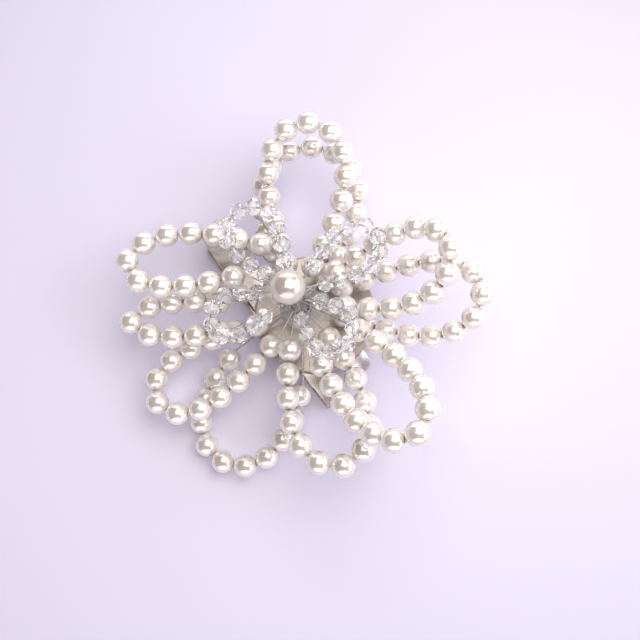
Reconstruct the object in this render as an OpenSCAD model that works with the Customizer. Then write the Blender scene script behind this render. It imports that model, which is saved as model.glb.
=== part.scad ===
// Beaded flower on a two-way finding: an alligator hair clip and a bar pin under one round disc.
// Millimetres, +Z up. The origin is the middle of the clip's flat sole, and +X runs to the jaw tip.

/* [Pearls] */
// Diameter of a petal pearl
pearl_d = 5.5; // [4:0.5:7]
// Diameter of the pearl in the middle
centre_pearl_d = 8; // [6:0.5:10]
// Hole through a pearl
pearl_hole_d = 0.9; // [0.8:0.1:1.1]
// Air between neighbouring beads on a wire
bead_gap = 0.05; // [0.02:0.01:0.1]

/* [Crystals] */
// Diameter of a faceted crystal
crystal_d = 4; // [3:0.5:5]
// Hole through a crystal
crystal_hole_d = 0.9; // [0.8:0.1:1.1]
// Facets around a crystal
crystal_sides = 8; // [6:1:10]

/* [Wire] */
// Thickness of the beading wire
wire_d = 0.4; // [0.3:0.05:0.5]
// Radius of the twisted stem that all wires end in
stem_r = 2; // [1.6:0.1:2.4]
// Strands twisted round the core of the stem
strand_count = 8; // [6:1:9]

/* [Flower] */
// How far the flower leans over on its disc
lean = 8; // [0:1:12]
// Height of the lower petals' roots above the disc, for pearls of 5.5
lower_root = 4.5; // [4:0.5:6]
// Height of the upper petals' roots above the disc, for pearls of 5.5
upper_root = 10.5; // [10:0.5:12]
// Height of the crystal loops' roots above the disc, for pearls of 5.5
crystal_root = 16; // [15.5:0.5:18]
// Distance of the flower's stem from the middle of the disc
stem_offset = 3.2; // [0:0.2:5]

/* [Disc] */
// Diameter of the base disc
disc_d = 29; // [26:1:32]
// Thickness of the disc
disc_t = 0.8; // [0.6:0.1:1.2]
// Diameter of the glue pad that holds the stem
glue_d = 11; // [9:0.5:14]

/* [Clip] */
// Length of the clip from lever to jaw tip
clip_len = 52; // [46:1:56]
// Width of the clip's sheet at the lever
clip_w = 8; // [7:0.5:9]
// Width at the jaw tip
tip_w = 5; // [4.5:0.5:6]
// Thickness of the clip's sheet steel
sheet = 0.6; // [0.5:0.05:0.7]
// Height of the closed clip where the disc sits
clip_h = 4.8; // [4.6:0.1:5.6]
// Distance from the lever end to the pivot
lever_len = 15; // [14:0.5:18]
// Rise of the upper lever
lever_angle = 25; // [22:1:28]
// Diameter of the pivot rivet
pivot_d = 1.4; // [1.2:0.1:1.5]
// Thickness of the spring wire
spring_wire = 0.5; // [0.4:0.05:0.5]
// Turns of the spring
spring_turns = 5; // [4:1:6]

/* [Bar pin] */
// Length of the bar
bar_len = 35; // [32:1:38]
// Width of the bar
bar_w = 4.6; // [4:0.2:5]
// Thickness of the bar
bar_t = 0.7; // [0.6:0.1:0.8]
// Thickness of the needle
needle_d = 0.9; // [0.7:0.1:1]
// Distance of the needle below the bar
needle_drop = 1.9; // [1.9:0.05:2.1]
// Distance of the bar from the clip, centre to centre
bar_offset = 10; // [9:0.5:12]

/* [Clearances] */
// Radial clearance of a shaft that turns
running = 0.05; // [0.03:0.01:0.08]
// Side clearance between sheet parts that pass
side_gap = 0.15; // [0.1:0.05:0.25]

/* [Hidden] */
$fn = 48;
fine = 0.01;

// Petals, for pearls of 5.5 and crystals of 4: azimuth, reach, spread, taper, sideways shift of the
// root, roll, length of bare wire from the stem to the first bead, root height, tip height, arch.
UPPER = [
    [84.5, 40, 19, 1.1, 0, 0, 8, upper_root, 17.5, -3],
    [167.5, 39, 13, 0.95, -9, 5, 13, upper_root + 2.9, 17.5, 0],
    [214.5, 40.5, 15, 1.2, 2.5, 0, 11, upper_root - 3.5, 6, 0],
    [310.5, 42.5, 15.5, 0.95, 0, 5, 15, upper_root, 25, -4],
    [11, 36, 16.5, 1.05, 0, 5, 10, upper_root - 0.1, 23, -5]
];
LOWER = [
    [85, 38, 23, 0.92, 0, 0, 9, lower_root, 8, -2.5],
    [187, 39, 8, 0.9, 3.5, 0, 14, lower_root + 7.5, 11.5, 0],
    [242.5, 41, 20, 0.8, 0, 0, 17, lower_root - 0.2, -0.2, 0],
    [285.8, 39.5, 17, 0.97, 0, -5, 11, lower_root + 3.9, 10, 0],
    [358, 42, 18, 1.15, 1, 5, 9, lower_root + 0.5, 15, -4]
];
CRYSTAL = [
    [123, 21, 12.5, 1.3, 0, 0, 6.2, crystal_root + 0.6, 21.5, 0],
    [201, 19, 11, 1.3, 0, 0, 6.2, crystal_root + 0.5, 17, 0],
    [29, 22.5, 12, 1.3, 0, 40, 6.2, crystal_root + 0.5, 20.5, 0],
    [315, 18, 11.5, 1.3, 0, 0, 6.2, crystal_root, 20.5, 0]
];
pearl_scale = pearl_d / 5.5;
crystal_scale = crystal_d / 4;
upper_count = len(UPPER);
lower_count = len(LOWER);
crystal_count = len(CRYSTAL);

flower_turn = 54.5;    // from the clip's length to the flower's first azimuth
stem_azimuth = 156;    // where the stem stands, seen from the middle of the disc
lean_azimuth = 180;    // towards which the flower leans
pivot_x = lever_len - clip_len / 2;
pivot_z = 2.5;
tip_x = clip_len / 2;
disc_x = 6;
disc_y = 8;
solder_t = 0.4;
disc_z = clip_h + solder_t;
disc_top = disc_z + disc_t;
pearl_pitch = pearl_d + bead_gap;
crystal_len = 0.8 * crystal_d;
crystal_pitch = crystal_len + crystal_d / 8 + bead_gap;    // room for the ends to swing round a loop's tip
centre_z = crystal_root * pearl_scale + 5;
centre_turn = 73;      // the middle pearl's wire comes down between the crystal loops' wires
stem_top = centre_z - centre_pearl_d / 2 - 0.1;
bar_y = bar_offset;
bar_x = disc_x + 0.8;
needle_z = disc_z - bar_t - needle_drop;

// ---- Vectors and paths ----

function unit(v) = v / norm(v);

// A petal made larger in plan and in height.
function sized(p, plan, rise) =
    [p[0], p[1] * plan, p[2] * plan, p[3], p[4] * plan, p[5], p[6] * plan, p[7] * rise, p[8] * rise, p[9] * rise];
function pearl_petal(p) = sized(p, pearl_scale, pearl_scale);
function crystal_petal(p) = sized(p, crystal_scale, pearl_scale);

function petal_azimuth(p) = p[0];
function petal_reach(p) = p[1];
function petal_spread(p) = p[2];
function petal_taper(p) = p[3];
function petal_shift(p) = p[4];
function petal_roll(p) = p[5];
function petal_bare(p) = p[6];
function petal_root(p) = p[7];
function petal_tip(p) = p[8];
function petal_arch(p) = p[9];

// A point of a petal's loop: at 0 the tip, at -90 and 90 the root.
function petal_point(p, angle) =
    let (
        out = cos(angle),
        along = petal_reach(p) * out,
        swing = petal_spread(p) * sin(angle) * pow(out, petal_taper(p)),
        across = swing * cos(petal_roll(p)) + petal_shift(p) * (1 - out),
        a = petal_azimuth(p)
    )
    [along * cos(a) - across * sin(a), along * sin(a) + across * cos(a),
     petal_root(p) + (petal_tip(p) - petal_root(p)) * out + petal_arch(p) * 4 * out * (1 - out)
        + swing * sin(petal_roll(p))];

// The loop angle one pitch further towards the root, found by halving.
function next_angle(p, from, pitch, low, high, tries = 20) =
    let (middle = (low + high) / 2)
    tries == 0 ? middle
    : norm(petal_point(p, middle) - petal_point(p, from)) < pitch
        ? next_angle(p, from, pitch, middle, high, tries - 1)
        : next_angle(p, from, pitch, low, middle, tries - 1);

// Room that a bead needs: from the bare wire at the stem, and from its twin on the other strand.
function bead_fits(p, angle, pitch) =
    let (here = petal_point(p, angle), twin = petal_point(p, -angle))
    norm([here.x, here.y]) > petal_bare(p) && norm(here - twin) > pitch;

function strand(p, angle, pitch, side) =
    let (further = next_angle(p, angle, pitch, angle, side * 89))
    bead_fits(p, further, pitch) ? concat([further], strand(p, further, pitch, side)) : [];

function reversed(list) = [for (i = [len(list) - 1:-1:0]) list[i]];

function bead_centres(p, pitch) =
    [for (a = concat(reversed(strand(p, 0, pitch, -1)), [0], strand(p, 0, pitch, 1))) petal_point(p, a)];

// Where the straight stretch of wire through one bead meets the next one's.
function wire_corner(c, i) =
    let (
        chord = unit(c[i + 1] - c[i]),
        half = norm(c[i + 1] - c[i]) / 2,
        here = i == 0 ? chord : unit(c[i + 1] - c[i - 1]),
        next = i + 2 == len(c) ? chord : unit(c[i + 2] - c[i])
    )
    (c[i] + here * half / (here * chord) + c[i + 1] - next * half / (next * chord)) / 2;

// Corners of the wire: one before the first bead, one between beads, one after the last.
function wire_corners(c) =
    let (inner = [for (i = [0:len(c) - 2]) wire_corner(c, i)])
    concat([2 * c[0] - inner[0]], inner, [2 * c[len(c) - 1] - inner[len(inner) - 1]]);

function stem_foot(point, height) =
    let (a = atan2(point.y, point.x), r = stem_r + wire_d / 2 + 0.05)
    [r * cos(a), r * sin(a), height];

function loop_path(p, pitch) =
    let (corners = wire_corners(bead_centres(p, pitch)))
    concat([stem_foot(corners[0], petal_root(p))], corners,
           [stem_foot(corners[len(corners) - 1], petal_root(p))]);

// ---- Building blocks ----

// A round wire along a path; upright is any direction that the path never runs along.
module tube(path, d, upright = [0, 0, 1], sides = 8) {
    count = len(path);
    points = [for (i = [0:count - 1])
        let (
            before = unit(path[max(i, 1)] - path[max(i, 1) - 1]),
            after = unit(path[min(i + 1, count - 1)] - path[min(i + 1, count - 1) - 1]),
            ahead = unit(before + after),
            side = unit(cross(upright, ahead)),
            up = cross(ahead, side)
        )
        for (k = [0:sides - 1])
            path[i] + d / 2 * (side * cos(k * 360 / sides) + up * sin(k * 360 / sides))];
    walls = [for (i = [0:count - 2]) for (k = [0:sides - 1]) for (half = [0, 1])
        let (next = (k + 1) % sides)
        half == 0 ? [i * sides + k, (i + 1) * sides + k, (i + 1) * sides + next]
            : [i * sides + k, (i + 1) * sides + next, i * sides + next]];
    start = [for (k = [0:sides - 1]) k];
    end = [for (k = [sides - 1:-1:0]) (count - 1) * sides + k];
    polyhedron(points, concat(walls, [start, end]));
}

// Places its children half way between two points, with +Z along the line.
module between(from, to) {
    line = to - from;
    translate((from + to) / 2)
        rotate([0, acos(line.z / norm(line)), atan2(line.y, line.x)])
            children();
}

module pearl(centre, from, to, d, hole) {
    difference() {
        translate(centre) sphere(d = d);
        between(from, to) cylinder(d = hole, h = 2 * d, center = true);
    }
}

// A faceted crystal, inside the sphere of its diameter.
module crystal(from, to) {
    r = crystal_d / 2;
    between(from, to) difference() {
        rotate_extrude($fn = crystal_sides)
            polygon([[0, -crystal_len / 2], [r * 0.42, -crystal_len / 2], [r * 0.94, -r * 0.3],
                     [r * 0.94, r * 0.3], [r * 0.42, crystal_len / 2], [0, crystal_len / 2]]);
        cylinder(d = crystal_hole_d, h = 2 * crystal_d, center = true);
    }
}

// The flower stands on the disc beside its middle, turned and leaning.
module on_flower() {
    translate([disc_x, disc_y, disc_top])
        rotate(flower_turn)
            translate([stem_offset * cos(stem_azimuth), stem_offset * sin(stem_azimuth), 0])
                rotate(lean_azimuth) rotate([0, lean, 0]) rotate(-lean_azimuth)
                    children();
}

module petal_pearls(p) {
    centres = bead_centres(p, pearl_pitch);
    corners = wire_corners(centres);
    color("ivory") on_flower()
        for (i = [0:len(centres) - 1]) pearl(centres[i], corners[i], corners[i + 1], pearl_d, pearl_hole_d);
}

module petal_wire(p) {
    color("silver") on_flower() tube(loop_path(p, pearl_pitch), wire_d);
}

module crystal_beads(p) {
    corners = wire_corners(bead_centres(p, crystal_pitch));
    color("aliceblue") on_flower()
        for (i = [0:len(corners) - 2]) crystal(corners[i], corners[i + 1]);
}

module crystal_wire(p) {
    color("silver") on_flower() tube(loop_path(p, crystal_pitch), wire_d);
}

// ---- Stem and centre ----

stem_foot_z = 0.6;
strand_r = 0.4;
core_r = stem_r - 2 * strand_r - 0.05;
strand_turns = 1;

module stem_core() {
    color("silver") on_flower()
        translate([0, 0, stem_foot_z]) cylinder(r = core_r, h = stem_top - stem_foot_z);
}

module stem_strands() {
    rings = 18;
    color("silver") on_flower() for (s = [0:strand_count - 1])
        tube([for (i = [0:rings])
            let (a = 360 * (s / strand_count + strand_turns * i / rings))
            [(stem_r - strand_r) * cos(a), (stem_r - strand_r) * sin(a),
             stem_foot_z + (stem_top - stem_foot_z) * i / rings]],
            2 * strand_r, [1, 0.2, 0]);
}

module binding_wire() {
    turns = 4;
    steps = 16;
    r = stem_r + wire_d / 2 + 0.08;
    color("silver") on_flower()
        tube([for (i = [0:turns * steps])
            [r * cos(360 * i / steps), r * sin(360 * i / steps), 1.2 + (wire_d + bead_gap) * i / steps]], wire_d);
}

module centre_pearl() {
    half = centre_pearl_d / 2;
    color("ivory") on_flower() rotate(centre_turn)
        pearl([0, 0, centre_z], [-half, 0, centre_z], [half, 0, centre_z], centre_pearl_d, pearl_hole_d);
}

// The wire goes through the middle pearl and down both sides to the stem.
module centre_wire() {
    out = centre_pearl_d / 2 + 0.4;
    foot = stem_r + wire_d / 2 + 0.05;
    color("silver") on_flower() rotate(centre_turn)
        tube([[-foot, 0, stem_top - 1], [-foot - 0.5, 0, stem_top - 0.2], [-out, 0, centre_z - 1.6],
              [-out, 0, centre_z - 0.4], [-out + 0.4, 0, centre_z], [out - 0.4, 0, centre_z],
              [out, 0, centre_z - 0.4], [out, 0, centre_z - 1.6], [foot + 0.5, 0, stem_top - 0.2],
              [foot, 0, stem_top - 1]], wire_d, [0, 1, 0]);
}

// ---- Disc ----

module base_disc() {
    edge = disc_t / 2;
    color("gainsboro") translate([disc_x, disc_y, disc_z])
        rotate_extrude() {
            square([disc_d / 2 - edge, disc_t]);
            translate([disc_d / 2 - edge, edge]) intersection() {
                circle(r = edge);
                translate([0, -edge]) square([edge, disc_t]);
            }
        }
}

// A puddle of glue round the foot of the stem, with a rounded edge.
module glue_pad() {
    height = 0.9;
    flat_r = glue_d / 2 - height;
    hole_r = stem_r + 0.3;
    color("whitesmoke") translate([disc_x, disc_y, disc_top]) rotate(flower_turn)
        translate([stem_offset * cos(stem_azimuth), stem_offset * sin(stem_azimuth), 0])
            rotate_extrude() {
                translate([hole_r, 0]) square([flat_r - hole_r, height]);
                translate([flat_r, 0]) intersection() {
                    circle(r = height);
                    square(height);
                }
            }
}

module clip_solder() {
    color("darkgray") for (x = [disc_x - 6, disc_x + 6])
        translate([x, 0, clip_h]) cylinder(d = 4, h = solder_t);
}

// ---- Alligator clip ----

jaw_start = pivot_x + 6;         // where the arms begin to narrow
cap_r = 0.6 * clip_w;            // rounding of the lever end
inner_w = clip_w - 2 * sheet - 2 * side_gap;

// Plan of an arm from x0 to x1: width w at the lever, narrowing past jaw_start to w_tip.
module arm_plan(x0, x1, w, w_tip, inset = 0) {
    polygon([[x0, -w / 2 + inset], [jaw_start, -w / 2 + inset], [x1, -w_tip / 2 + inset],
             [x1, w_tip / 2 - inset], [jaw_start, w / 2 - inset], [x0, w / 2 - inset]]);
}

// Side walls of an arm, cut by a side profile.
module arm_walls(x0, x1, w, w_tip, h) {
    intersection() {
        linear_extrude(h) difference() {
            arm_plan(x0, x1, w, w_tip);
            arm_plan(x0 - 1, x1 + 1, w, w_tip, sheet);
        }
        rotate([90, 0, 0]) linear_extrude(2 * clip_w, center = true) children();
    }
}

ear_r = 2.1;
jaw_wall = 2.2;                  // height of the lower jaw's side walls
tooth = 1.2;
tooth_count = 5;

module lower_arm() {
    color("silver") difference() {
        union() {
            linear_extrude(sheet) intersection() {
                arm_plan(-tip_x, tip_x, clip_w, tip_w);
                union() {
                    translate([-tip_x + cap_r, 0]) circle(r = cap_r);
                    translate([-tip_x + cap_r, -clip_w]) square([clip_len - cap_r, 2 * clip_w]);
                }
            }
            arm_walls(pivot_x - ear_r - 3, tip_x, clip_w, tip_w, clip_h) {
                polygon(concat(
                    [[pivot_x - ear_r - 3, 0], [pivot_x - ear_r - 3, sheet + fine], [pivot_x - ear_r, pivot_z]],
                    [for (a = [170:-20:10]) [pivot_x + ear_r * cos(a), pivot_z + ear_r * sin(a)]],
                    [[pivot_x + ear_r, pivot_z], [pivot_x + ear_r + 1.5, jaw_wall],
                     [tip_x - tooth * tooth_count, jaw_wall - 0.6]],
                    [for (i = [0:tooth_count - 1]) each
                        [[tip_x - tooth * (tooth_count - i - 0.5), jaw_wall + 0.9],
                         [tip_x - tooth * (tooth_count - i - 1), jaw_wall - 0.6]]],
                    [[tip_x, 0]]));
            }
        }
        translate([pivot_x, 0, pivot_z]) rotate([90, 0, 0])
            cylinder(d = pivot_d + 2 * running, h = 2 * clip_w, center = true);
    }
}

module upper_arm() {
    plate_z = clip_h - sheet;
    color("silver") difference() {
        union() {
            // jaw plate
            translate([0, 0, plate_z]) linear_extrude(sheet)
                arm_plan(pivot_x, tip_x, inner_w, tip_w);
            // bent tip with its edge against the lower jaw's teeth
            translate([tip_x - sheet, -tip_w / 2, jaw_wall + 1]) cube([sheet, tip_w, plate_z - jaw_wall - 1 + fine]);
            // ears inside the lower arm's ears
            for (side = [-1, 1]) translate([pivot_x, side * (inner_w - sheet) / 2, 0]) rotate([90, 0, 0])
                linear_extrude(sheet, center = true) union() {
                    translate([0, pivot_z]) circle(r = 1.6);
                    translate([-1.6, pivot_z]) square([3.2, plate_z - pivot_z + fine]);
                }
            // lever with rounded end and turned-down sides
            translate([pivot_x, 0, clip_h]) rotate([0, lever_angle, 0]) {
                translate([0, 0, -sheet]) linear_extrude(sheet) lever_plan();
                translate([0, 0, -2.1]) linear_extrude(2.1) intersection() {
                    difference() {
                        lever_plan();
                        translate([0, 0]) square([4 * lever_len, clip_w - 2 * sheet], center = true);
                    }
                    translate([-lever_len + 3, -clip_w]) square([lever_len - 8, 2 * clip_w]);
                }
            }
        }
        translate([pivot_x, 0, pivot_z]) rotate([90, 0, 0])
            cylinder(d = pivot_d, h = 2 * clip_w, center = true);
    }
}

// Plan of the lever, running back from the pivot; narrow between the ears, wide behind them.
module lever_plan() {
    neck = 4;
    reach = lever_len / cos(lever_angle) - 0.6;
    translate([-neck - fine, -inner_w / 2]) square([neck + 2 * fine, inner_w]);
    intersection() {
        translate([-reach, -clip_w / 2]) square([reach - neck, clip_w]);
        translate([-reach + cap_r * 1.6, 0]) union() {
            circle(r = cap_r * 1.6);
            translate([0, -clip_w]) square([reach, 2 * clip_w]);
        }
    }
}

module pivot_rivet() {
    head_t = 0.35;
    color("silver") translate([pivot_x, 0, pivot_z]) rotate([90, 0, 0]) {
        cylinder(d = pivot_d, h = clip_w + 2 * running + fine, center = true);
        for (side = [-1, 1]) translate([0, 0, side * (clip_w / 2 + running + head_t / 2)])
            cylinder(d = pivot_d + 1, h = head_t, center = true);
    }
}

// Torsion spring round the rivet, with one leg along each lever.
module clip_spring() {
    r = 1.2;
    steps = 16;
    leg = 9;
    lower_slope = 2.5;
    pitch = spring_wire + 0.06;
    y0 = -spring_turns * pitch / 2;
    first = 270 - lower_slope;
    last = 90 - lever_angle + 360 * spring_turns + 360;
    coil_steps = round((last - first) / 360 * steps);
    centre = [pivot_x, 0, pivot_z];
    function coil(i) = let (a = first + (last - first) * i / coil_steps)
        centre + [r * cos(a), y0 + spring_turns * pitch * i / coil_steps, r * sin(a)];
    start_leg = coil(0) - leg * [cos(lower_slope), 0, sin(lower_slope)];
    end_leg = coil(coil_steps) + leg * [-cos(lever_angle), 0, sin(lever_angle)];
    color("gray") tube(concat([start_leg], [for (i = [0:coil_steps]) coil(i)], [end_leg]),
                       spring_wire, [0, 1, 0]);
}

// ---- Bar pin ----

hinge_x = bar_x + bar_len / 2 - 2.6;
catch_x = bar_x - bar_len / 2 + 2.6;
lug_t = 0.6;
lug_gap = 1.7;
rivet_d = 0.9;
eye_r = 1.1;
ring_r = 1.85;
sleeve_r = 1.35;
sleeve_hole_r = needle_d / 2 + 0.15;
slot_w = needle_d + 0.3;
catch_len = 2.4;

module pin_bar() {
    top = disc_z;
    color("silver") difference() {
        union() {
            translate([bar_x, bar_y, top - bar_t]) linear_extrude(bar_t) {
                square([bar_len - bar_w, bar_w], center = true);
                for (side = [-1, 1]) translate([side * (bar_len - bar_w) / 2, 0]) circle(d = bar_w);
            }
            for (side = [-1, 1]) translate([hinge_x, bar_y + side * (lug_gap + lug_t) / 2, 0])
                rotate([90, 0, 0]) linear_extrude(lug_t, center = true) {
                    translate([0, needle_z]) circle(r = eye_r);
                    translate([-eye_r, needle_z]) square([2 * eye_r, top - bar_t - needle_z + fine]);
                }
        }
        translate([hinge_x, bar_y, needle_z]) rotate([90, 0, 0])
            cylinder(d = rivet_d, h = 2 * bar_w, center = true);
    }
}

module catch_ring() {
    foot_w = 2.4;
    foot_h = needle_drop - needle_d / 2;
    color("silver") translate([catch_x, bar_y, needle_z]) rotate([0, 90, 0]) difference() {
        union() {
            cylinder(r = ring_r, h = catch_len, center = true);
            translate([-needle_drop, -foot_w / 2, -catch_len / 2]) cube([foot_h, foot_w, catch_len]);
        }
        cylinder(r = sleeve_r + running, h = 2 * catch_len, center = true);
        translate([0, -slot_w / 2, -catch_len]) cube([2 * ring_r, slot_w, 2 * catch_len]);
    }
}

module catch_sleeve() {
    length = catch_len + 1.6;
    color("gainsboro") translate([catch_x, bar_y, needle_z]) rotate([0, 90, 0]) difference() {
        union() {
            cylinder(r = sleeve_r, h = length, center = true);
            for (side = [-1, 1]) translate([0, 0, side * (catch_len / 2 + 0.45)])
                cylinder(r = sleeve_r + 0.3, h = 0.7, center = true);
        }
        cylinder(r = sleeve_hole_r, h = 2 * length, center = true);
        translate([0, -slot_w / 2, -length]) cube([2 * ring_r, slot_w, 2 * length]);
    }
}

module pin_needle() {
    shaft_end = catch_x - 2.4;
    point = 3;
    color("silver") {
        difference() {
            union() {
                translate([hinge_x, bar_y, needle_z]) rotate([90, 0, 0])
                    cylinder(r = eye_r, h = lug_gap - 0.2, center = true);
                translate([hinge_x, bar_y, needle_z]) rotate([0, -90, 0])
                    cylinder(d = needle_d, h = hinge_x - shaft_end - point);
                translate([shaft_end + point, bar_y, needle_z]) rotate([0, -90, 0])
                    cylinder(d1 = needle_d, d2 = 0.15, h = point);
            }
            translate([hinge_x, bar_y, needle_z]) rotate([90, 0, 0])
                cylinder(d = rivet_d + 2 * running, h = 2 * bar_w, center = true);
        }
    }
}

module pin_rivet() {
    span = lug_gap + 2 * lug_t;
    color("silver") translate([hinge_x, bar_y, needle_z]) rotate([90, 0, 0]) {
        cylinder(d = rivet_d, h = span + fine, center = true);
        for (side = [-1, 1]) translate([0, 0, side * (span / 2 + 0.15)])
            cylinder(d = rivet_d + 0.6, h = 0.3, center = true);
    }
}

base_disc();
glue_pad();
clip_solder();
upper_arm();
lower_arm();
pivot_rivet();
clip_spring();
pin_bar();
pin_needle();
pin_rivet();
catch_ring();
catch_sleeve();
stem_core();
stem_strands();
binding_wire();
centre_pearl();
centre_wire();
for (i = [1:upper_count]) {
    petal_pearls(pearl_petal(UPPER[i - 1]));
    petal_wire(pearl_petal(UPPER[i - 1]));
}
for (i = [1:lower_count]) {
    petal_pearls(pearl_petal(LOWER[i - 1]));
    petal_wire(pearl_petal(LOWER[i - 1]));
}
for (i = [1:crystal_count]) {
    crystal_beads(crystal_petal(CRYSTAL[i - 1]));
    crystal_wire(crystal_petal(CRYSTAL[i - 1]));
}
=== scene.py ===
import math

import bmesh
import bpy
import numpy as np
from mathutils import Matrix, Vector


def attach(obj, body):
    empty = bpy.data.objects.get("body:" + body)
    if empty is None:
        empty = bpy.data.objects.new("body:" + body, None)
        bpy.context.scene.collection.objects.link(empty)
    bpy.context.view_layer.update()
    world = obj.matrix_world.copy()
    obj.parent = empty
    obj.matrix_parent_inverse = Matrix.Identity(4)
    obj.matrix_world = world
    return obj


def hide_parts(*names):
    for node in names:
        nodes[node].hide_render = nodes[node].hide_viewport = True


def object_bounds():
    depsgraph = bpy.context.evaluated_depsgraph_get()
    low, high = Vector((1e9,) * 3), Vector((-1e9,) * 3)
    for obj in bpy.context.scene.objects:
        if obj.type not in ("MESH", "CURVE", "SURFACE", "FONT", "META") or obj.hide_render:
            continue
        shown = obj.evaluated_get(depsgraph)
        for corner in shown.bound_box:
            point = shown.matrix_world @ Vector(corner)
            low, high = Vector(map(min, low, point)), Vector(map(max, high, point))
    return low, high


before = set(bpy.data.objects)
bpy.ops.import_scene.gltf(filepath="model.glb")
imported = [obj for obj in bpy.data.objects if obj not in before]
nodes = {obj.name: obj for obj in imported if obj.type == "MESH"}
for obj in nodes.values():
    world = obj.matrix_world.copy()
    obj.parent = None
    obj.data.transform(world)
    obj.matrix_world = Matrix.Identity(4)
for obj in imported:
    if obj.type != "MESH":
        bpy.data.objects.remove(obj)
cadLow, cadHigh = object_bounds()
scene = bpy.context.scene
mm = 0.001
flowerBody, armBody, catchBody = "flower", "lower_arm", "catch"

# the camera looks down on the flower, tilted back; turn is from the clip to the view's right, in degrees
shot = {"turn": 54.5, "tilt": 12, "distance": 205 * mm, "aim": Vector((9.05, 7.3, 12)) * mm, "lens": 49.4,
        "near": 0.01, "far": 20}
right = Vector((math.cos(math.radians(shot["turn"])), math.sin(math.radians(shot["turn"])), 0))
away = Vector((-right.y, right.x, 0))
up = Vector((0, 0, 1))


def spot(x, y, z):
    # a place beside the flower, in mm: right and away as the camera sees them, and up from the floor
    return shot["aim"] * Vector((1, 1, 0)) + (right * x + away * y + up * z) * mm


def pointAt(thing, place, target, top):
    back = (place - target).normalized()
    side = top.cross(back).normalized()
    thing.matrix_world = (
        Matrix.Translation(place) @ Matrix((side, back.cross(side), back)).transposed().to_4x4())


def makeCamera():
    camera = bpy.data.objects.new("camera", bpy.data.cameras.new("camera"))
    scene.collection.objects.link(camera)
    camera.data.lens = shot["lens"]
    camera.data.clip_start, camera.data.clip_end = shot["near"], shot["far"]
    tilt = math.radians(shot["tilt"])
    place = shot["aim"] + (up * math.cos(tilt) - away * math.sin(tilt)) * shot["distance"]
    pointAt(camera, place, shot["aim"], away)
    scene.camera = camera


def makeLamp(name, place, shape, size, watts, colour, target=(0, 0, 10)):
    lamp = bpy.data.lights.new(name, "AREA")
    lamp.shape, lamp.energy, lamp.color = shape, watts, colour
    lamp.size, lamp.size_y = size[0] * mm, size[1] * mm
    holder = bpy.data.objects.new(name, lamp)
    scene.collection.objects.link(holder)
    pointAt(holder, spot(*place), spot(*target), away)
    holder.visible_camera = False


def link(tree, *pairs):
    for start, end in pairs:
        tree.links.new(start, end)


def addNode(tree, kind, values=None, **options):
    node = tree.nodes.new(kind)
    for key, value in options.items():
        setattr(node, key, value)
    for key, value in (values or {}).items():
        node.inputs[key].default_value = value
    return node


def makeWorld():
    # a white tent with a dark opening overhead that runs off to the left
    room = {"tent": (0.93, 0.90, 0.98, 1), "dark": (0.10, 0.083, 0.075, 1), "behind": (0.90, 0.88, 0.95, 1),
            "strength": 1.84, "sides": (0.70, 0.80), "rightEnd": (0.62, 0.78), "height": (0.10, 0.0)}
    world = bpy.data.worlds.new("studio")
    world.use_nodes = True
    scene.world = world
    tree = world.node_tree
    tree.nodes.clear()
    where = addNode(tree, "ShaderNodeTexCoord")

    def along(direction, full, none, absolute=False):
        # from 0 where the look has the none share of the direction to 1 where it has the full share
        dot = addNode(tree, "ShaderNodeVectorMath", {1: direction}, operation="DOT_PRODUCT")
        link(tree, (where.outputs["Generated"], dot.inputs[0]))
        share = dot.outputs["Value"]
        if absolute:
            size = addNode(tree, "ShaderNodeMath", operation="ABSOLUTE")
            link(tree, (share, size.inputs[0]))
            share = size.outputs[0]
        ramp = addNode(tree, "ShaderNodeMapRange", {"From Min": none, "From Max": full},
                       interpolation_type="SMOOTHSTEP")
        link(tree, (share, ramp.inputs["Value"]))
        return ramp.outputs["Result"]

    sides = along(away, *room["sides"], absolute=True)
    rightEnd = along(right, *room["rightEnd"])
    height = along(up, *room["height"])
    first = addNode(tree, "ShaderNodeMath", operation="MULTIPLY")
    opening = addNode(tree, "ShaderNodeMath", operation="MULTIPLY")
    colour = addNode(tree, "ShaderNodeMix", data_type="RGBA")
    colour.inputs[6].default_value, colour.inputs[7].default_value = room["tent"], room["dark"]
    backdrop = addNode(tree, "ShaderNodeBackground", {"Color": room["behind"]})
    tent = addNode(tree, "ShaderNodeBackground", {"Strength": room["strength"]})
    seen = addNode(tree, "ShaderNodeLightPath")
    pick = addNode(tree, "ShaderNodeMixShader")
    out = addNode(tree, "ShaderNodeOutputWorld")
    link(tree, (sides, first.inputs[0]), (rightEnd, first.inputs[1]), (first.outputs[0], opening.inputs[0]),
         (height, opening.inputs[1]), (opening.outputs[0], colour.inputs["Factor"]),
         (colour.outputs[2], tent.inputs["Color"]), (seen.outputs["Is Camera Ray"], pick.inputs[0]),
         (tent.outputs[0], pick.inputs[1]), (backdrop.outputs[0], pick.inputs[2]),
         (pick.outputs[0], out.inputs[0]))


def material(name, values):
    made = bpy.data.materials.new(name)
    made.use_nodes = True
    shader = made.node_tree.nodes["Principled BSDF"]
    for key, value in values.items():
        shader.inputs[key].default_value = value
    return made, made.node_tree, shader


def noise(tree, scale, detail=3, stretch=(1, 1, 1)):
    where = addNode(tree, "ShaderNodeTexCoord")
    placing = addNode(tree, "ShaderNodeMapping", {"Scale": stretch})
    pattern = addNode(tree, "ShaderNodeTexNoise", {"Scale": scale, "Detail": detail})
    link(tree, (where.outputs["Object"], placing.inputs["Vector"]),
         (placing.outputs[0], pattern.inputs["Vector"]))
    return pattern.outputs["Fac"]


def between(tree, share, low, high, start=0.35, end=0.65):
    ramp = addNode(tree, "ShaderNodeMapRange", {
        "From Min": start, "From Max": end, "To Min": low, "To Max": high})
    link(tree, (share, ramp.inputs["Value"]))
    return ramp.outputs["Result"]


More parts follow.
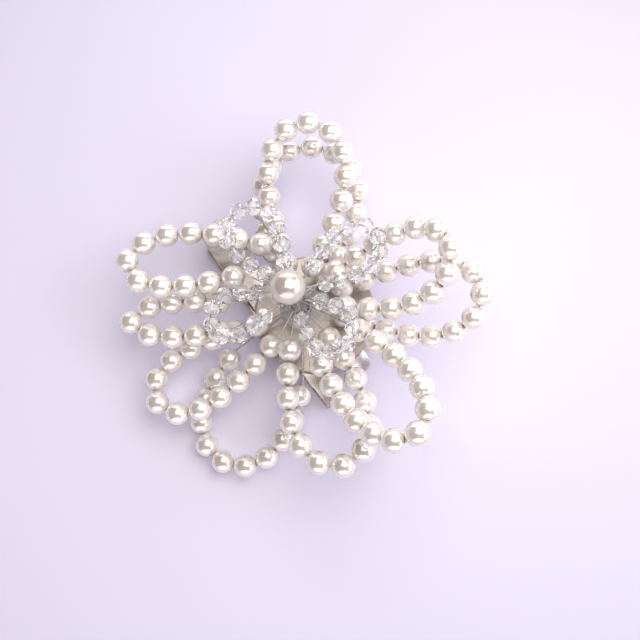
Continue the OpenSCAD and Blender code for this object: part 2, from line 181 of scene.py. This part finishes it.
def blendColour(tree, share, first, second, start=0.35, end=0.65):
    mix = addNode(tree, "ShaderNodeMix", data_type="RGBA")
    mix.inputs[6].default_value, mix.inputs[7].default_value = (*first, 1), (*second, 1)
    link(tree, (between(tree, share, 0, 1, start, end), mix.inputs["Factor"]))
    return mix.outputs[2]


def bump(tree, share, strength, depth):
    made = addNode(tree, "ShaderNodeBump", {"Strength": strength, "Distance": depth})
    link(tree, (share, made.inputs["Height"]))
    return made.outputs["Normal"]


def pearlCoat(name, dark, light):
    made, tree, shader = material(name, {
        "Metallic": 0.5, "IOR": 1.55, "Coat Weight": 0.6, "Coat Roughness": 0.07, "Coat IOR": 1.5,
        "Sheen Weight": 0.15, "Sheen Roughness": 0.4})
    tone = addNode(tree, "ShaderNodeAttribute", attribute_name="beadTone")
    body = blendColour(tree, tone.outputs["Fac"], dark, light, 0, 1)
    cloud = noise(tree, 900, 2)
    shade = addNode(tree, "ShaderNodeMix", data_type="RGBA", blend_type="MULTIPLY")
    shade.inputs["Factor"].default_value = 1
    link(tree, (body, shade.inputs[6]),
         (blendColour(tree, cloud, (0.96, 0.95, 0.94), (1, 1, 1)), shade.inputs[7]),
         (shade.outputs[2], shader.inputs["Base Color"]),
         (between(tree, cloud, 0.15, 0.23), shader.inputs["Roughness"]),
         (bump(tree, noise(tree, 1400, 2), 0.06, 0.05 * mm), shader.inputs["Normal"]))
    return made


def clearCrystal():
    made, tree, shader = material("clearCrystal", {
        "Base Color": (1, 1, 1, 1), "IOR": 1.34, "Transmission Weight": 0.9, "Specular IOR Level": 1,
        "Coat Weight": 0.7, "Coat Roughness": 0.02, "Coat IOR": 1.8})
    link(tree, (between(tree, noise(tree, 1500, 2), 0.0, 0.03), shader.inputs["Roughness"]))
    return made


def metal(name, dark, light, low, high, scratch=(1, 1, 1), grain=900, depth=0.02):
    made, tree, shader = material(name, {"Metallic": 1})
    wear = noise(tree, grain, 4, scratch)
    link(tree, (blendColour(tree, noise(tree, 120, 2), dark, light, 0.2, 0.8), shader.inputs["Base Color"]),
         (between(tree, wear, low, high), shader.inputs["Roughness"]),
         (bump(tree, wear, 0.15, depth * mm), shader.inputs["Normal"]))
    return made


def setGlue():
    made, tree, shader = material("setGlue", {
        "Base Color": (0.86, 0.83, 0.78, 1), "IOR": 1.45, "Transmission Weight": 0.3, "Roughness": 0.2})
    link(tree, (bump(tree, noise(tree, 500, 3), 0.4, 0.2 * mm), shader.inputs["Normal"]))
    return made


def paperFloor():
    made, tree, shader = material("paperFloor", {"Roughness": 0.75, "Specular IOR Level": 0.25})
    tint = blendColour(tree, noise(tree, 6, 2), (0.845, 0.815, 0.975), (0.865, 0.835, 0.99))
    link(tree, (tint, shader.inputs["Base Color"]))
    return made


pearlPaint = pearlCoat("pearlCoat", (0.93, 0.875, 0.80), (0.97, 0.925, 0.865))
# the middle pearl's coat is a darker copy of the petal pearls' coat: painted shade for the hub it sits in
middlePearlShadedPaint = pearlCoat("middlePearlShadedCoat", (0.76, 0.69, 0.62), (0.82, 0.75, 0.68))
crystalGlass = clearCrystal()
silverWire = metal("silverWire", (0.42, 0.41, 0.42), (0.58, 0.57, 0.58), 0.16, 0.34, grain=2500)
nickelSheet = metal("nickelSheet", (0.40, 0.355, 0.32), (0.50, 0.45, 0.41), 0.17, 0.26, (1, 9, 1), 900, 0.002)
polishedPin = metal("polishedPin", (0.58, 0.56, 0.60), (0.70, 0.68, 0.73), 0.12, 0.20, (1, 9, 1), 900, 0.002)
# the disc's nickel is painted darker and browner than bare nickel: painted shade for the hub, where the
# petals shade it
nickelDiscPaintedShade = metal("nickelDiscPaintedShade", (0.36, 0.31, 0.27), (0.44, 0.39, 0.34), 0.26, 0.36, (7, 1, 1), 900, 0.002)
springSteel = metal("springSteel", (0.20, 0.19, 0.19), (0.36, 0.35, 0.34), 0.25, 0.45, grain=2000)
needleSteel = metal("needleSteel", (0.68, 0.68, 0.69), (0.82, 0.82, 0.83), 0.06, 0.18,
                    (1, 20, 20), 300, 0.004)
softSolder = metal("softSolder", (0.45, 0.45, 0.46), (0.66, 0.66, 0.67), 0.30, 0.55, grain=1500, depth=0.08)
glueClear = setGlue()
print("materials ready")


weld = 0.0005 * mm


def merged(name):
    # a copy of a node's mesh with its loose triangles joined
    shape = bmesh.new()
    shape.from_mesh(nodes[name].data)
    bmesh.ops.remove_doubles(shape, verts=shape.verts, dist=weld)
    return shape


def solids(name):
    # vertex places of each separate solid of a node, in the order along its wire
    shape = merged(name)
    left, found = set(shape.verts), []
    shape.verts.ensure_lookup_table()
    for start in shape.verts:
        if start not in left:
            continue
        group, queue = [], [start]
        left.discard(start)
        while queue:
            corner = queue.pop()
            group.append(corner.co.copy())
            for edge in corner.link_edges:
                other = edge.other_vert(corner)
                if other in left:
                    left.discard(other)
                    queue.append(other)
        found.append(np.array(group))
    shape.free()
    return found


def ballCentre(points):
    # centre of the sphere that the points lie on
    rows = np.hstack([2 * points, np.ones((len(points), 1))])
    answer = np.linalg.lstsq(rows, (points ** 2).sum(1), rcond=None)[0]
    return Vector(answer[:3])


def ballRadius(points):
    # radius of that sphere, in mm
    return float(np.linalg.norm(points - np.array(ballCentre(points)), axis=1).max()) / mm


def middle(points):
    # middle of the box round the points
    return Vector(((points.min(0) + points.max(0)) / 2).tolist())


def axisOf(name):
    # both ends of a straight round bar, lower one first
    points = np.vstack(solids(name))
    centre = points.mean(0)
    direction = np.linalg.svd(points - centre)[2][0]
    direction = direction if direction[2] > 0 else -direction
    reach = (points - centre) @ direction
    return Vector(centre + direction * reach.min()), Vector(centre + direction * reach.max())


stemFoot, stemTop = axisOf("stem_core")
stemLine = (stemTop - stemFoot).normalized()


wireBend = {"radius": 0.2, "steps": 7, "sides": 10, "footReach": 0.45 * mm}


def wireFoot(points, first):
    # where a loop's wire meets the stem: the ring of corners nearest the stem on the first bead's side
    offset = points - np.array(stemFoot)
    line = np.array(stemLine)
    distance = np.linalg.norm(offset - np.outer(offset @ line, line), axis=1)
    near = points[distance < distance.min() + wireBend["footReach"]]
    start = near[np.argmin(np.linalg.norm(near - np.array(first), axis=1))]
    return Vector(near[np.linalg.norm(near - start, axis=1) < wireBend["footReach"]].mean(0))


def newTree(name, sockets):
    tree = bpy.data.node_groups.new(name, "GeometryNodeTree")
    tree.interface.new_socket("Geometry", in_out="INPUT", socket_type="NodeSocketGeometry")
    for label, kind in sockets.items():
        tree.interface.new_socket(label, in_out="INPUT", socket_type="NodeSocket" + kind)
    tree.interface.new_socket("Geometry", in_out="OUTPUT", socket_type="NodeSocketGeometry")
    return tree, addNode(tree, "NodeGroupInput"), addNode(tree, "NodeGroupOutput")


def grow(name, tree, seed, settings):
    # runs a tree on a seed mesh and keeps the result as a plain mesh
    piece = bpy.data.objects.new(name, seed)
    scene.collection.objects.link(piece)
    modifier = piece.modifiers.new("grow", "NODES")
    modifier.node_group = tree
    for socket in tree.interface.items_tree:
        if socket.in_out == "INPUT" and socket.name in settings:
            modifier[socket.identifier] = settings[socket.name]
    evaluated = piece.evaluated_get(bpy.context.evaluated_depsgraph_get())
    made = bpy.data.meshes.new_from_object(evaluated)
    piece.modifiers.remove(modifier)
    piece.data = made
    made.name = name
    return piece


def polyline(points):
    line = bpy.data.meshes.new("path")
    line.from_pydata([tuple(p) for p in points], [(i, i + 1) for i in range(len(points) - 1)], [])
    return line


def stringTree():
    # one bead on each point of a path, its hole along the path
    tree, given, out = newTree("beadString", {
        "Bead": "Object", "Smallest": "Float", "Wobble": "Float", "Seed": "Int", "Material": "Material"})
    curve = addNode(tree, "GeometryNodeMeshToCurve")
    bead = addNode(tree, "GeometryNodeObjectInfo")
    along = addNode(tree, "GeometryNodeInputTangent")
    aim = addNode(tree, "FunctionNodeAlignRotationToVector", axis="Z")
    spin = addNode(tree, "FunctionNodeRandomValue", data_type="FLOAT")
    spin.inputs[3].default_value = math.tau
    turn = addNode(tree, "FunctionNodeAxisAngleToRotation", {"Axis": (0, 0, 1)})
    tip = addNode(tree, "FunctionNodeRandomValue", data_type="FLOAT_VECTOR")
    tipped = addNode(tree, "FunctionNodeEulerToRotation")
    low = addNode(tree, "ShaderNodeVectorMath", {1: (-1, -1, 0)}, operation="MULTIPLY")
    high = addNode(tree, "ShaderNodeVectorMath", {1: (1, 1, 0)}, operation="MULTIPLY")
    both = addNode(tree, "FunctionNodeRotateRotation", rotation_space="LOCAL")
    whole = addNode(tree, "FunctionNodeRotateRotation", rotation_space="LOCAL")
    size = addNode(tree, "FunctionNodeRandomValue", data_type="FLOAT_VECTOR")
    size.inputs[1].default_value = (1, 1, 1)
    place = addNode(tree, "GeometryNodeInstanceOnPoints")
    tone = addNode(tree, "FunctionNodeRandomValue", data_type="FLOAT")
    store = addNode(tree, "GeometryNodeStoreNamedAttribute", {"Name": "beadTone"},
                    domain="INSTANCE", data_type="FLOAT")
    real = addNode(tree, "GeometryNodeRealizeInstances")
    paint = addNode(tree, "GeometryNodeSetMaterial")
    link(tree, (given.outputs["Geometry"], curve.inputs["Mesh"]),
         (given.outputs["Bead"], bead.inputs["Object"]),
         (along.outputs[0], aim.inputs["Vector"]), (spin.outputs[1], turn.inputs["Angle"]),
         (given.outputs["Wobble"], low.inputs[0]), (given.outputs["Wobble"], high.inputs[0]),
         (low.outputs[0], tip.inputs[0]), (high.outputs[0], tip.inputs[1]),
         (tip.outputs[0], tipped.inputs[0]),
         (aim.outputs[0], both.inputs[0]), (tipped.outputs[0], both.inputs[1]),
         (both.outputs[0], whole.inputs[0]), (turn.outputs[0], whole.inputs[1]),
         (given.outputs["Smallest"], size.inputs[0]),
         (curve.outputs[0], place.inputs["Points"]), (bead.outputs["Geometry"], place.inputs["Instance"]),
         (whole.outputs[0], place.inputs["Rotation"]), (size.outputs[0], place.inputs["Scale"]),
         (place.outputs[0], store.inputs["Geometry"]), (tone.outputs[1], store.inputs["Value"]),
         (store.outputs[0], real.inputs[0]), (real.outputs[0], paint.inputs["Geometry"]),
         (given.outputs["Material"], paint.inputs["Material"]), (paint.outputs[0], out.inputs[0]))
    for number in (spin, tip, size, tone):
        link(tree, (given.outputs["Seed"], number.inputs["Seed"]))
    return tree


def wireTree():
    # a round wire bent smoothly through the points of a path
    tree, given, out = newTree("bentWire", {
        "Radius": "Float", "Steps": "Int", "Sides": "Int", "Material": "Material"})
    curve = addNode(tree, "GeometryNodeMeshToCurve")
    smooth = addNode(tree, "GeometryNodeCurveSplineType", spline_type="CATMULL_ROM")
    steps = addNode(tree, "GeometryNodeSetSplineResolution")
    ring = addNode(tree, "GeometryNodeCurvePrimitiveCircle", mode="RADIUS")
    sweep = addNode(tree, "GeometryNodeCurveToMesh", {"Fill Caps": True})
    real = addNode(tree, "GeometryNodeRealizeInstances")
    paint = addNode(tree, "GeometryNodeSetMaterial")
    link(tree, (given.outputs["Geometry"], curve.inputs["Mesh"]), (curve.outputs[0], smooth.inputs[0]),
         (smooth.outputs[0], steps.inputs["Geometry"]), (given.outputs["Steps"], steps.inputs["Resolution"]),
         (given.outputs["Radius"], ring.inputs["Radius"]),
         (given.outputs["Sides"], ring.inputs["Resolution"]),
         (steps.outputs[0], sweep.inputs["Curve"]), (ring.outputs[0], sweep.inputs["Profile Curve"]),
         (sweep.outputs[0], real.inputs[0]), (real.outputs[0], paint.inputs["Geometry"]),
         (given.outputs["Material"], paint.inputs["Material"]), (paint.outputs[0], out.inputs[0]))
    return tree


def twistTree():
    # strands that wind round one axis, which runs up from the origin
    tree, given, out = newTree("twistedStrands", {
        "Strands": "Int", "Turns": "Float", "Winding Radius": "Float", "Height": "Float",
        "Wire Radius": "Float", "Steps": "Int", "Material": "Material"})
    helix = addNode(tree, "GeometryNodeCurveSpiral")
    ring = addNode(tree, "GeometryNodeCurvePrimitiveCircle", {"Resolution": 10}, mode="RADIUS")
    sweep = addNode(tree, "GeometryNodeCurveToMesh", {"Fill Caps": True})
    posts = addNode(tree, "GeometryNodePoints")
    number = addNode(tree, "GeometryNodeInputIndex")
    share = addNode(tree, "ShaderNodeMath", operation="DIVIDE")
    angle = addNode(tree, "ShaderNodeMath", {1: math.tau}, operation="MULTIPLY")
    turn = addNode(tree, "FunctionNodeAxisAngleToRotation", {"Axis": (0, 0, 1)})
    place = addNode(tree, "GeometryNodeInstanceOnPoints")
    real = addNode(tree, "GeometryNodeRealizeInstances")
    paint = addNode(tree, "GeometryNodeSetMaterial")
    link(tree, (given.outputs["Turns"], helix.inputs["Rotations"]),
         (given.outputs["Steps"], helix.inputs["Resolution"]),
         (given.outputs["Winding Radius"], helix.inputs["Start Radius"]),
         (given.outputs["Winding Radius"], helix.inputs["End Radius"]),
         (given.outputs["Height"], helix.inputs["Height"]),
         (given.outputs["Wire Radius"], ring.inputs["Radius"]), (helix.outputs[0], sweep.inputs["Curve"]),
         (ring.outputs[0], sweep.inputs["Profile Curve"]), (given.outputs["Strands"], posts.inputs["Count"]),
         (number.outputs[0], share.inputs[0]), (given.outputs["Strands"], share.inputs[1]),
         (share.outputs[0], angle.inputs[0]), (angle.outputs[0], turn.inputs["Angle"]),
         (posts.outputs[0], place.inputs["Points"]), (sweep.outputs[0], place.inputs["Instance"]),
         (turn.outputs[0], place.inputs["Rotation"]), (place.outputs[0], real.inputs[0]),
         (real.outputs[0], paint.inputs["Geometry"]), (given.outputs["Material"], paint.inputs["Material"]),
         (paint.outputs[0], out.inputs[0]))
    return tree


# bore is a share of the radius; lipOut and lipDown are shares of the lip, and hole and lip are in mm
pearlCut = {"sides": 24, "rings": 11, "hole": 0.42, "lip": 0.16, "bore": 0.9, "lipOut": 0.25, "lipDown": 0.35}


def pearlShape(name, radius):
    # a ball turned round its hole, with a soft lip where the coat runs into the hole
    hole, lip = pearlCut["hole"], pearlCut["lip"]
    bore = radius * pearlCut["bore"]
    mouth = math.asin((hole + lip) / radius)
    lipPlace = hole + lip * pearlCut["lipOut"], radius * math.cos(mouth) - lip * pearlCut["lipDown"]
    turned = [(hole, -bore), (hole, bore), lipPlace]
    for i in range(pearlCut["rings"] + 1):
        angle = mouth + (math.pi - 2 * mouth) * i / pearlCut["rings"]
        turned.append((radius * math.sin(angle), radius * math.cos(angle)))
    turned.append((lipPlace[0], -lipPlace[1]))
    return lathe(name, turned, pearlCut["sides"])


def lathe(name, turned, sides):
    # spins a closed outline of (radius, height) pairs, in mm, round Z
    shape = bmesh.new()
    rings = [[shape.verts.new(
        Vector((r * math.cos(math.tau * k / sides), r * math.sin(math.tau * k / sides), z)) * mm)
        for k in range(sides)] for r, z in turned]
    for i, ring in enumerate(rings):
        after = rings[(i + 1) % len(rings)]
        for k in range(sides):
            shape.faces.new((ring[k], ring[(k + 1) % sides], after[(k + 1) % sides], after[k]))
    return finished(name, shape)


def finished(name, shape, smooth=True):
    bmesh.ops.recalc_face_normals(shape, faces=shape.faces)
    for face in shape.faces:
        face.smooth = smooth
    mesh = bpy.data.meshes.new(name)
    shape.to_mesh(mesh)
    shape.free()
    piece = bpy.data.objects.new(name, mesh)
    scene.collection.objects.link(piece)
    return piece


# belt, slope and end say how far out each row of cuts lies, in shares of the radius; radius and hole in mm
crystalCut = {"radius": 2.0, "sides": 8, "belt": 0.92, "slope": 0.90, "lean": 38, "end": 0.8, "hole": 0.38}


def crystalShape():
    # a bead ground flat on three rows of facets, the upper and lower rows set half a facet on
    r, sides = crystalCut["radius"] * mm, crystalCut["sides"]
    shape = bmesh.new()
    bmesh.ops.create_cube(shape, size=4 * r)
    planes = [((0, 0, side), crystalCut["end"]) for side in (-1, 1)]
    lean = math.radians(crystalCut["lean"])
    for k in range(sides):
        belt, row = math.tau * k / sides, math.tau * (k + 0.5) / sides
        planes.append(((math.cos(belt), math.sin(belt), 0), crystalCut["belt"]))
        for side in (-1, 1):
            planes.append((
                (math.cos(row) * math.cos(lean), math.sin(row) * math.cos(lean), side * math.sin(lean)),
                crystalCut["slope"]))
    for normal, depth in planes:
        cut = bmesh.ops.bisect_plane(shape, geom=[*shape.verts, *shape.edges, *shape.faces], dist=1e-9,
                                     plane_co=Vector(normal) * depth * r, plane_no=normal, clear_outer=True)
        rim = [e for e in cut["geom_cut"] if isinstance(e, bmesh.types.BMEdge)]
        bmesh.ops.contextual_create(shape, geom=rim)
    ends = [f for f in shape.faces if abs(f.normal.z) > 0.99]
    mouths = []
    for face in ends:
        centre = face.calc_center_median()
        span = (face.verts[0].co - centre).length
        bmesh.ops.inset_region(shape, faces=[face], thickness=0.0001 * mm)
        for corner in face.verts:
            corner.co = centre + (corner.co - centre) * crystalCut["hole"] * mm / span
        mouths.append(face)
    edges = [e for f in mouths for e in f.edges]
    bmesh.ops.delete(shape, geom=mouths, context="FACES_ONLY")
    bmesh.ops.bridge_loops(shape, edges=edges)
    return finished("crystalMaster", shape, smooth=False)


beadMaster = pearlShape("pearlMaster", ballRadius(solids("upper_petal_1_pearls")[0]))
crystalMaster = crystalShape()
beadString, bentWire, twistedStrands = stringTree(), wireTree(), twistTree()
print("crystal facets", len(crystalMaster.data.polygons), "pearl faces", len(beadMaster.data.polygons))


loopKinds = {
    "upper_petal_": {"count": 5, "part": "pearls", "bead": beadMaster, "paint": pearlPaint, "slot": "pearl",
                     "smallest": 0.985, "wobble": 0.05},
    "lower_petal_": {"count": 5, "part": "pearls", "bead": beadMaster, "paint": pearlPaint, "slot": "pearl",
                     "smallest": 0.985, "wobble": 0.05},
    "crystal_loop_": {"count": 4, "part": "beads", "bead": crystalMaster, "paint": crystalGlass,
                      "slot": "crystal", "smallest": 0.97, "wobble": 0.06},
}
def keep(piece, node, body=flowerBody):
    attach(piece, body)
    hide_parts(node)


def threadLoop(prefix, number, kind):
    beadNode, wireNode = f"{prefix}{number}_{kind['part']}", f"{prefix}{number}_wire"
    find = ballCentre if kind["part"] == "pearls" else middle
    centres = [find(points) for points in solids(beadNode)]
    beads = grow(beadNode + "_strung", beadString, polyline(centres), {
        "Bead": kind["bead"], "Smallest": kind["smallest"], "Wobble": kind["wobble"], "Seed": number,
        "Material": kind["paint"]})
    corners = np.vstack(solids(wireNode))
    lead = 2 * centres[0] - (centres[0] + centres[1]) / 2
    tail = 2 * centres[-1] - (centres[-1] + centres[-2]) / 2
    route = [wireFoot(corners, lead), lead, *centres, tail, wireFoot(corners, tail)]
    wire = grow(wireNode + "_bent", bentWire, polyline(route), {
        "Radius": wireBend["radius"] * mm, "Steps": wireBend["steps"], "Sides": wireBend["sides"],
        "Material": silverWire})
    keep(beads, beadNode)
    keep(wire, wireNode)


for prefix, kind in loopKinds.items():
    for number in range(1, kind["count"] + 1):
        threadLoop(prefix, number, kind)
print("petals and crystal loops strung")


def turnTo(piece, foot, line):
    # stands a shape made along Z on foot, pointing along line
    piece.data.transform(Matrix.Translation(foot) @ up.rotation_difference(line).to_matrix().to_4x4())


def middlePearl():
    ball = solids("centre_pearl")[0]
    centre = ballCentre(ball)
    plan = np.vstack(solids("centre_wire"))[:, :2]
    across = Vector((*np.linalg.svd(plan - plan.mean(0))[2][0], 0))      # the way its wire runs
    pearl = pearlShape("middle_pearl", ballRadius(ball))
    turnTo(pearl, centre, across)
    # the darker coat paints the hub's shade onto the middle pearl
    pearl.data.materials.append(middlePearlShadedPaint)
    keep(pearl, "centre_pearl")


stemTwist = {"strands": 8, "turns": 1.0, "radius": 1.6, "wire": 0.4, "steps": 48}
binding = {"turns": 4.0, "radius": 2.28, "wire": 0.2, "rise": 0.45, "start": 0.6, "steps": 28}


def twistStem():
    strands = grow("stem_strands_twisted", twistedStrands, polyline([(0, 0, 0), (0, 0, mm)]), {
        "Strands": stemTwist["strands"], "Turns": stemTwist["turns"],
        "Winding Radius": stemTwist["radius"] * mm,
        "Height": (stemTop - stemFoot).length, "Wire Radius": stemTwist["wire"] * mm,
        "Steps": stemTwist["steps"], "Material": silverWire})
    turnTo(strands, stemFoot, stemLine)
    keep(strands, "stem_strands")
    wrap = grow("binding_wire_wound", twistedStrands, polyline([(0, 0, 0), (0, 0, mm)]), {
        "Strands": 1, "Turns": binding["turns"], "Winding Radius": binding["radius"] * mm,
        "Height": binding["turns"] * binding["rise"] * mm, "Wire Radius": binding["wire"] * mm,
        "Steps": binding["steps"], "Material": silverWire})
    turnTo(wrap, stemFoot + stemLine * binding["start"] * mm, stemLine)
    keep(wrap, "binding_wire")


middlePearl()
twistStem()
print("middle pearl and stem made")


# widths of the rolled edges in mm; flat and sharp are angles in degrees
softEdge = {"disc": 0.1, "sheet": 0.1, "small": 0.06, "flat": 0.6, "sharp": 32}


def softened(node, name, paint, body, width):
    # the node's own shape with its edges rolled round, as pressed sheet metal has them
    flat, sharp = math.radians(softEdge["flat"]), math.radians(softEdge["sharp"])
    shape = merged(node)
    bmesh.ops.dissolve_limit(shape, angle_limit=flat, verts=shape.verts, edges=shape.edges)
    piece = finished(name, shape)
    piece.data.set_sharp_from_angle(angle=sharp)
    piece.data.materials.append(paint)
    roll = piece.modifiers.new("roll", "BEVEL")
    roll.width, roll.segments, roll.limit_method, roll.angle_limit = width * mm, 2, "ANGLE", sharp
    roll.harden_normals = True
    keep(piece, node, body)


metalParts = {
    # the disc gets the darkened nickel that carries the painted hub shade
    "base_disc": ("disc_plate", nickelDiscPaintedShade, "disc", flowerBody, softEdge["disc"]),
    "upper_arm": ("clip_upper", nickelSheet, "clip", flowerBody, softEdge["sheet"]),
    "lower_arm": ("clip_lower", nickelSheet, "clip", armBody, softEdge["sheet"]),
    "pivot_rivet": ("clip_rivet", nickelSheet, "rivet", flowerBody, softEdge["small"]),
    "pin_bar": ("pin_plate", polishedPin, "pin", flowerBody, softEdge["sheet"]),
    "pin_rivet": ("pin_hinge_rivet", polishedPin, "rivet", flowerBody, softEdge["small"]),
    "catch_ring": ("pin_catch_ring", polishedPin, "pin", flowerBody, softEdge["small"]),
    "catch_sleeve": ("pin_catch_sleeve", polishedPin, "catch", catchBody, softEdge["small"]),
}
for node, (name, paint, slot, body, width) in metalParts.items():
    softened(node, name, paint, body, width)

plainPaint = {"clip_solder": softSolder, "clip_spring": springSteel, "pin_needle": needleSteel,
              "stem_core": silverWire, "centre_wire": silverWire, "glue_pad": glueClear}
for node, paint in plainPaint.items():
    nodes[node].data.materials.clear()
    nodes[node].data.materials.append(paint)
print("finding made")


# places and sizes in mm
lamps = {
    "keySoftbox": {"place": (52, 34, 200), "shape": "DISK", "size": (215, 215), "watts": 0.325,
                   "colour": (1, 0.985, 0.96)},
    "tailStrip": {"place": (-40, -30, 205), "shape": "RECTANGLE", "size": (60, 26), "watts": 0.010,
                  "colour": (1, 0.99, 0.98)},
}
table = {"halfWidth": 3, "gap": 0.02 * mm}      # the floor lies the gap below the clip
makeCamera()
makeWorld()
for name, lamp in lamps.items():
    makeLamp(name, **lamp)
floorSheet = bmesh.new()
bmesh.ops.create_grid(floorSheet, x_segments=1, y_segments=1, size=table["halfWidth"])
floor = finished("floor", floorSheet)
floor.data.transform(Matrix.Translation((0, 0, min(cadLow.z, 0) - table["gap"])))
floor.data.materials.append(paperFloor())
for master in (beadMaster, crystalMaster):
    bpy.data.objects.remove(master)
scene.view_settings.view_transform = "Standard"
print("room ready")
